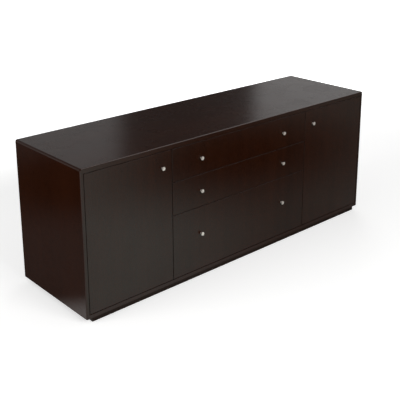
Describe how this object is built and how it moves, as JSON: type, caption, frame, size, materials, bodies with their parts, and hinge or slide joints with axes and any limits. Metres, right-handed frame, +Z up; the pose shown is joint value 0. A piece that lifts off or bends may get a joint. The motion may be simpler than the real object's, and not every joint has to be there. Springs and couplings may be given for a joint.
{
  "type": "office credenza",
  "caption": "Low dark-veneered office credenza with a hinged door at each end, a bank of sliding drawers between them over a file drawer, flared metal knobs and a recessed plinth.",
  "frame": {"origin": "on the floor, under the centre of the object's bounding box, knobs included", "axes": "+X along the length towards the right-hand end as seen from the front, +Y from front to back, +Z up; the doors and drawers face -Y"},
  "size_m": [1.829, 0.528, 0.692],
  "materials": {
    "espresso_veneer": "satin lacquer over espresso-stained veneer",
    "inner_veneer": "satin espresso-stained panel",
    "plinth_veneer": "satin lacquer, darker",
    "back_board": "matt stained board",
    "block_wood": "raw wood",
    "drawer_wood": "clear lacquered birch",
    "drawer_ply": "clear lacquered plywood",
    "brushed_nickel": "brushed nickel plate",
    "plated_steel": "dark bronze plated steel",
    "slide_steel": "bright zinc plate",
    "screw_steel": "zinc-plated steel",
    "rail_aluminium": "satin extruded aluminium",
    "catch_plastic": "moulded brown-black plastic",
    "bumper_felt": "dark felt stop",
    "glide_plastic": "black nylon"
  },
  "bodies": {
    "carcass": {"back_panel": "back_board", "bottom_panel": "espresso_veneer", "door_catches": "catch_plastic", "door_pivot_plates": "plated_steel", "file_drawer_cabinet_slides": "slide_steel", "front_bumpers": "bumper_felt", "left_partition": "inner_veneer", "left_shelf": "inner_veneer", "left_side_panel": "espresso_veneer", "levelling_glides": "glide_plastic", "middle_drawer_cabinet_slides": "slide_steel", "plinth_blocks": "block_wood", "plinth_end_rails": "plinth_veneer", "plinth_front_rail": "plinth_veneer", "plinth_rear_rail": "plinth_veneer", "right_partition": "inner_veneer", "right_shelf": "inner_veneer", "right_side_panel": "espresso_veneer", "shelf_pins": "plated_steel", "top_drawer_cabinet_slides": "slide_steel", "top_panel": "espresso_veneer"},
    "left_door": {"left_door_knob": "brushed_nickel", "left_door_knob_screw": "screw_steel", "left_door_panel": "espresso_veneer", "left_door_pivots": "plated_steel", "left_door_strike": "plated_steel"},
    "right_door": {"right_door_knob": "brushed_nickel", "right_door_knob_screw": "screw_steel", "right_door_panel": "espresso_veneer", "right_door_pivots": "plated_steel", "right_door_strike": "plated_steel"},
    "top_drawer": {"top_drawer_back": "drawer_wood", "top_drawer_bottom": "drawer_ply", "top_drawer_box_front": "drawer_wood", "top_drawer_box_slides": "slide_steel", "top_drawer_front": "espresso_veneer", "top_drawer_knob_screws": "screw_steel", "top_drawer_knobs": "brushed_nickel", "top_drawer_sides": "drawer_wood"},
    "middle_drawer": {"middle_drawer_back": "drawer_wood", "middle_drawer_bottom": "drawer_ply", "middle_drawer_box_front": "drawer_wood", "middle_drawer_box_slides": "slide_steel", "middle_drawer_front": "espresso_veneer", "middle_drawer_knob_screws": "screw_steel", "middle_drawer_knobs": "brushed_nickel", "middle_drawer_sides": "drawer_wood"},
    "file_drawer": {"file_drawer_back": "drawer_wood", "file_drawer_bottom": "drawer_ply", "file_drawer_box_front": "drawer_wood", "file_drawer_box_slides": "slide_steel", "file_drawer_front": "espresso_veneer", "file_drawer_knob_screws": "screw_steel", "file_drawer_knobs": "brushed_nickel", "file_drawer_sides": "drawer_wood", "hanging_file_rails": "rail_aluminium"},
    "top_slide_middles": {"top_drawer_middle_slides": "slide_steel"},
    "middle_slide_middles": {"middle_drawer_middle_slides": "slide_steel"},
    "file_slide_middles": {"file_drawer_middle_slides": "slide_steel"}
  },
  "joints": [
    {"name": "left_door_hinge", "type": "hinge", "parent": "carcass", "child": "left_door", "pos_m": [-0.8845, -0.245, 0.3545], "axis": [0, 0, -1], "range_deg": [0, 110]},
    {"name": "right_door_hinge", "type": "hinge", "parent": "carcass", "child": "right_door", "pos_m": [0.8845, -0.245, 0.3545], "axis": [0, 0, 1], "range_deg": [0, 110]},
    {"name": "top_drawer_slide", "type": "slide", "parent": "carcass", "child": "top_drawer", "axis": [0, -1, 0], "range_m": [0, 0.43]},
    {"name": "top_slide_middles_slide", "type": "slide", "parent": "carcass", "child": "top_slide_middles", "axis": [0, -1, 0], "range_m": [0, 0.215]},
    {"name": "middle_drawer_slide", "type": "slide", "parent": "carcass", "child": "middle_drawer", "axis": [0, -1, 0], "range_m": [0, 0.43]},
    {"name": "middle_slide_middles_slide", "type": "slide", "parent": "carcass", "child": "middle_slide_middles", "axis": [0, -1, 0], "range_m": [0, 0.215]},
    {"name": "file_drawer_slide", "type": "slide", "parent": "carcass", "child": "file_drawer", "axis": [0, -1, 0], "range_m": [0, 0.43]},
    {"name": "file_slide_middles_slide", "type": "slide", "parent": "carcass", "child": "file_slide_middles", "axis": [0, -1, 0], "range_m": [0, 0.215]}
  ],
  "couplings": [
    {"joint": "top_slide_middles_slide", "follows": "top_drawer_slide", "ratio": 0.5},
    {"joint": "middle_slide_middles_slide", "follows": "middle_drawer_slide", "ratio": 0.5},
    {"joint": "file_slide_middles_slide", "follows": "file_drawer_slide", "ratio": 0.5}
  ]
}
